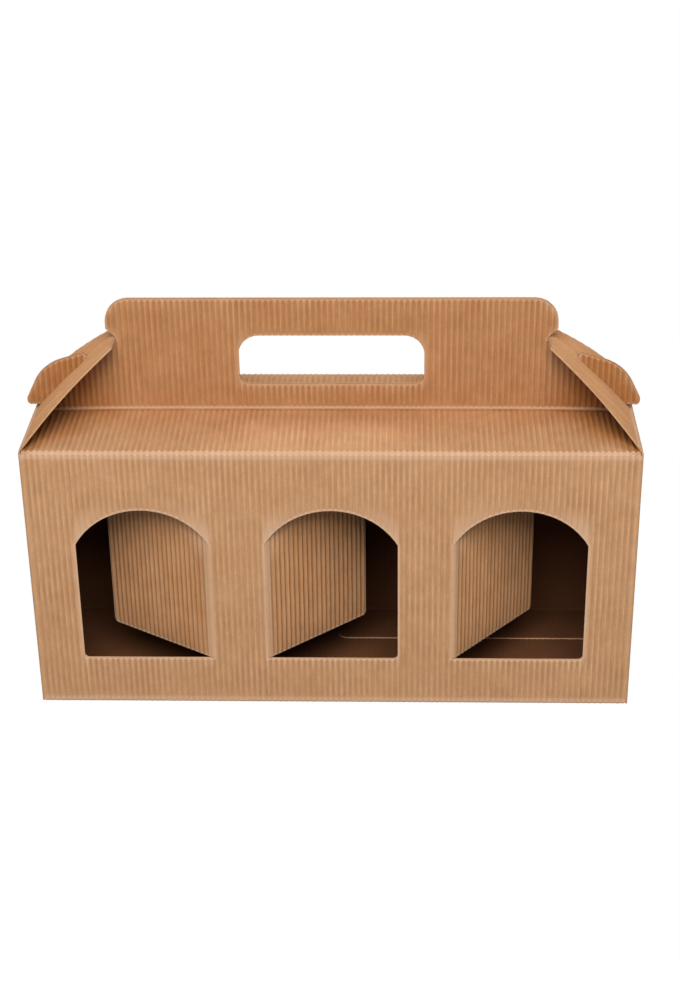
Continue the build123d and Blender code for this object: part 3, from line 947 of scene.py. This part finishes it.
flap_outline = np.array([(0, flap_length), (flap_tip / 2, flap_length), (flap_half, 0)])
slit_outline = np.array([(slit_half, slit_start), (slit_half, slit_end), (0, slit_end)])
rim_gap = np.minimum(gap_to(flap_outline, across, up), gap_to(slit_outline, across, up))
keep = all_cells(up)
keep[np.abs(places[1:] + places[:-1]) / 2 < slit_half, 1 : 1 + slit_part.shape[1]] = False
press = np.maximum(score_press(up), rim_press(rim_gap))
pale = np.maximum(score_pale(up), end_flap_rim_pale * rim_pale(rim_gap))
thick = thickness(flute_rise(places, short_run)[:, None], press)
lip = lip_lift * np.exp(-(((up - slit_end - lip_place) / lip_length) ** 2) - (across / lip_half) ** 2)
lift = lip + flap_bow * np.sin(pi * np.clip((up - crease_half) / (flap_length - crease_half), 0, 1))
heights = (thick - board / 2 + lift, lift - board / 2)

line_places = across_flutes(-flap_half, flap_half, short_run)
crease_line = np.broadcast_to(line_places[:, None], (len(line_places), len(crease_rows)))
crease_rise = flute_rise(line_places, short_run)[:, None]
slope = radians(flap_angle)
for name, side in (("left", -1), ("right", 1)):
    node = f"{name}_end_flap"
    hinge = hinges[node] * np.array([1, 0, 1])
    slope_axis = -side * cos(slope) * x_axis + sin(slope) * z_axis
    out_axis = side * sin(slope) * x_axis + cos(slope) * z_axis
    faces = flap_faces(hinge, up, slope_axis, places[:, None], y_axis, heights, out_axis)
    sheet = board_sheet(*faces, keep, 0.0, 0.0, pale, end_flap_warm)
    end_flap = board_piece(node + "_board", [sheet], board_faces)
    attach(end_flap, node)
    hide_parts(node)
    crease_strip(node, crease_line, crease_rise, pi / 2 - slope, hinge, z_axis, -side * x_axis, y_axis)

# Studio: a white floor and background, a soft key high in front, a weaker light from behind and a weak sky.
# The camera stands in front and looks down on the box.
floor_half = 6.0
floor_tone = (0.4, 0.4, 0.4, 1.0)
glow_share = 0.96
glow_level = 1.03
sky_level = 0.12
backdrop_level = 1.0
white = (1.0, 1.0, 1.0, 1.0)
lamps = {
    "front_key": {"place": (0.0, -0.77, 0.955), "size": 0.7, "power": 16.3},
    "back_light": {"place": (0.1, 0.95, 0.78), "size": 0.9, "power": 7.8},
}
lamp_target = (0.0, 0.0, 0.08)


def seen_directly(tree):
    """1 for rays from the camera, in a mirror or through glass, and 0 for the rays that light the scene."""
    rays = add_node(tree, "ShaderNodeLightPath").outputs
    mirrored = calc(tree, "MAXIMUM", rays["Is Glossy Ray"], rays["Is Transmission Ray"])
    return calc(tree, "MAXIMUM", rays["Is Camera Ray"], mirrored)


floor_mesh = bpy.data.meshes.new("studio_floor")
floor_corners = [(x * floor_half, y * floor_half, 0) for x, y in ((-1, -1), (1, -1), (1, 1), (-1, 1))]
floor_mesh.from_pydata(floor_corners, [], [(0, 1, 2, 3)])
floor = bpy.data.objects.new("studio_floor", floor_mesh)
bpy.context.scene.collection.objects.link(floor)
floor_material = bpy.data.materials.new("studio_floor")
floor_material.use_nodes = True
tree = floor_material.node_tree
tree.nodes.clear()
glow_mix = calc(tree, "MULTIPLY", seen_directly(tree), glow_share)
paper_white = add_node(tree, "ShaderNodeBsdfDiffuse", Color=floor_tone).outputs[0]
glow = add_node(tree, "ShaderNodeEmission", Color=white, Strength=glow_level).outputs[0]
surface = add_node(tree, "ShaderNodeMixShader", i0=glow_mix, i1=paper_white, i2=glow).outputs[0]
add_node(tree, "ShaderNodeOutputMaterial", Surface=surface)
floor_mesh.materials.append(floor_material)

world = bpy.data.worlds.new("studio")
bpy.context.scene.world = world
world.use_nodes = True
tree = world.node_tree
tree.nodes.clear()
sky = add_node(tree, "ShaderNodeBackground", Color=white, Strength=sky_level).outputs[0]
backdrop = add_node(tree, "ShaderNodeBackground", Color=white, Strength=backdrop_level).outputs[0]
surface = add_node(tree, "ShaderNodeMixShader", i0=seen_directly(tree), i1=sky, i2=backdrop).outputs[0]
add_node(tree, "ShaderNodeOutputWorld", Surface=surface)

for name, lamp in lamps.items():
    light = bpy.data.lights.new(name, "AREA")
    light.shape = "SQUARE"
    light.size = lamp["size"]
    light.energy = lamp["power"]
    light_object = bpy.data.objects.new(name, light)
    light_object.location = lamp["place"]
    aim = Vector(lamp_target) - Vector(lamp["place"])
    light_object.rotation_euler = aim.to_track_quat("-Z", "Y").to_euler()
    bpy.context.scene.collection.objects.link(light_object)

sensor = 36.0
lens = 69.447
pitch = 27.965
roll = -0.872
heading = 2.158
eye = np.array([29.88, -724.04, 462.59]) * MM
camera = bpy.data.cameras.new("camera")
camera.sensor_width = sensor
camera.lens = lens
camera_object = bpy.data.objects.new("camera", camera)
turned = Matrix.Rotation(radians(heading), 4, "Z") @ Matrix.Rotation(radians(90 - pitch), 4, "X")
camera_object.matrix_world = Matrix.Translation(eye) @ turned @ Matrix.Rotation(radians(roll), 4, "Z")
bpy.context.scene.collection.objects.link(camera_object)
bpy.context.scene.camera = camera_object
bpy.context.scene.view_settings.view_transform = "Standard"
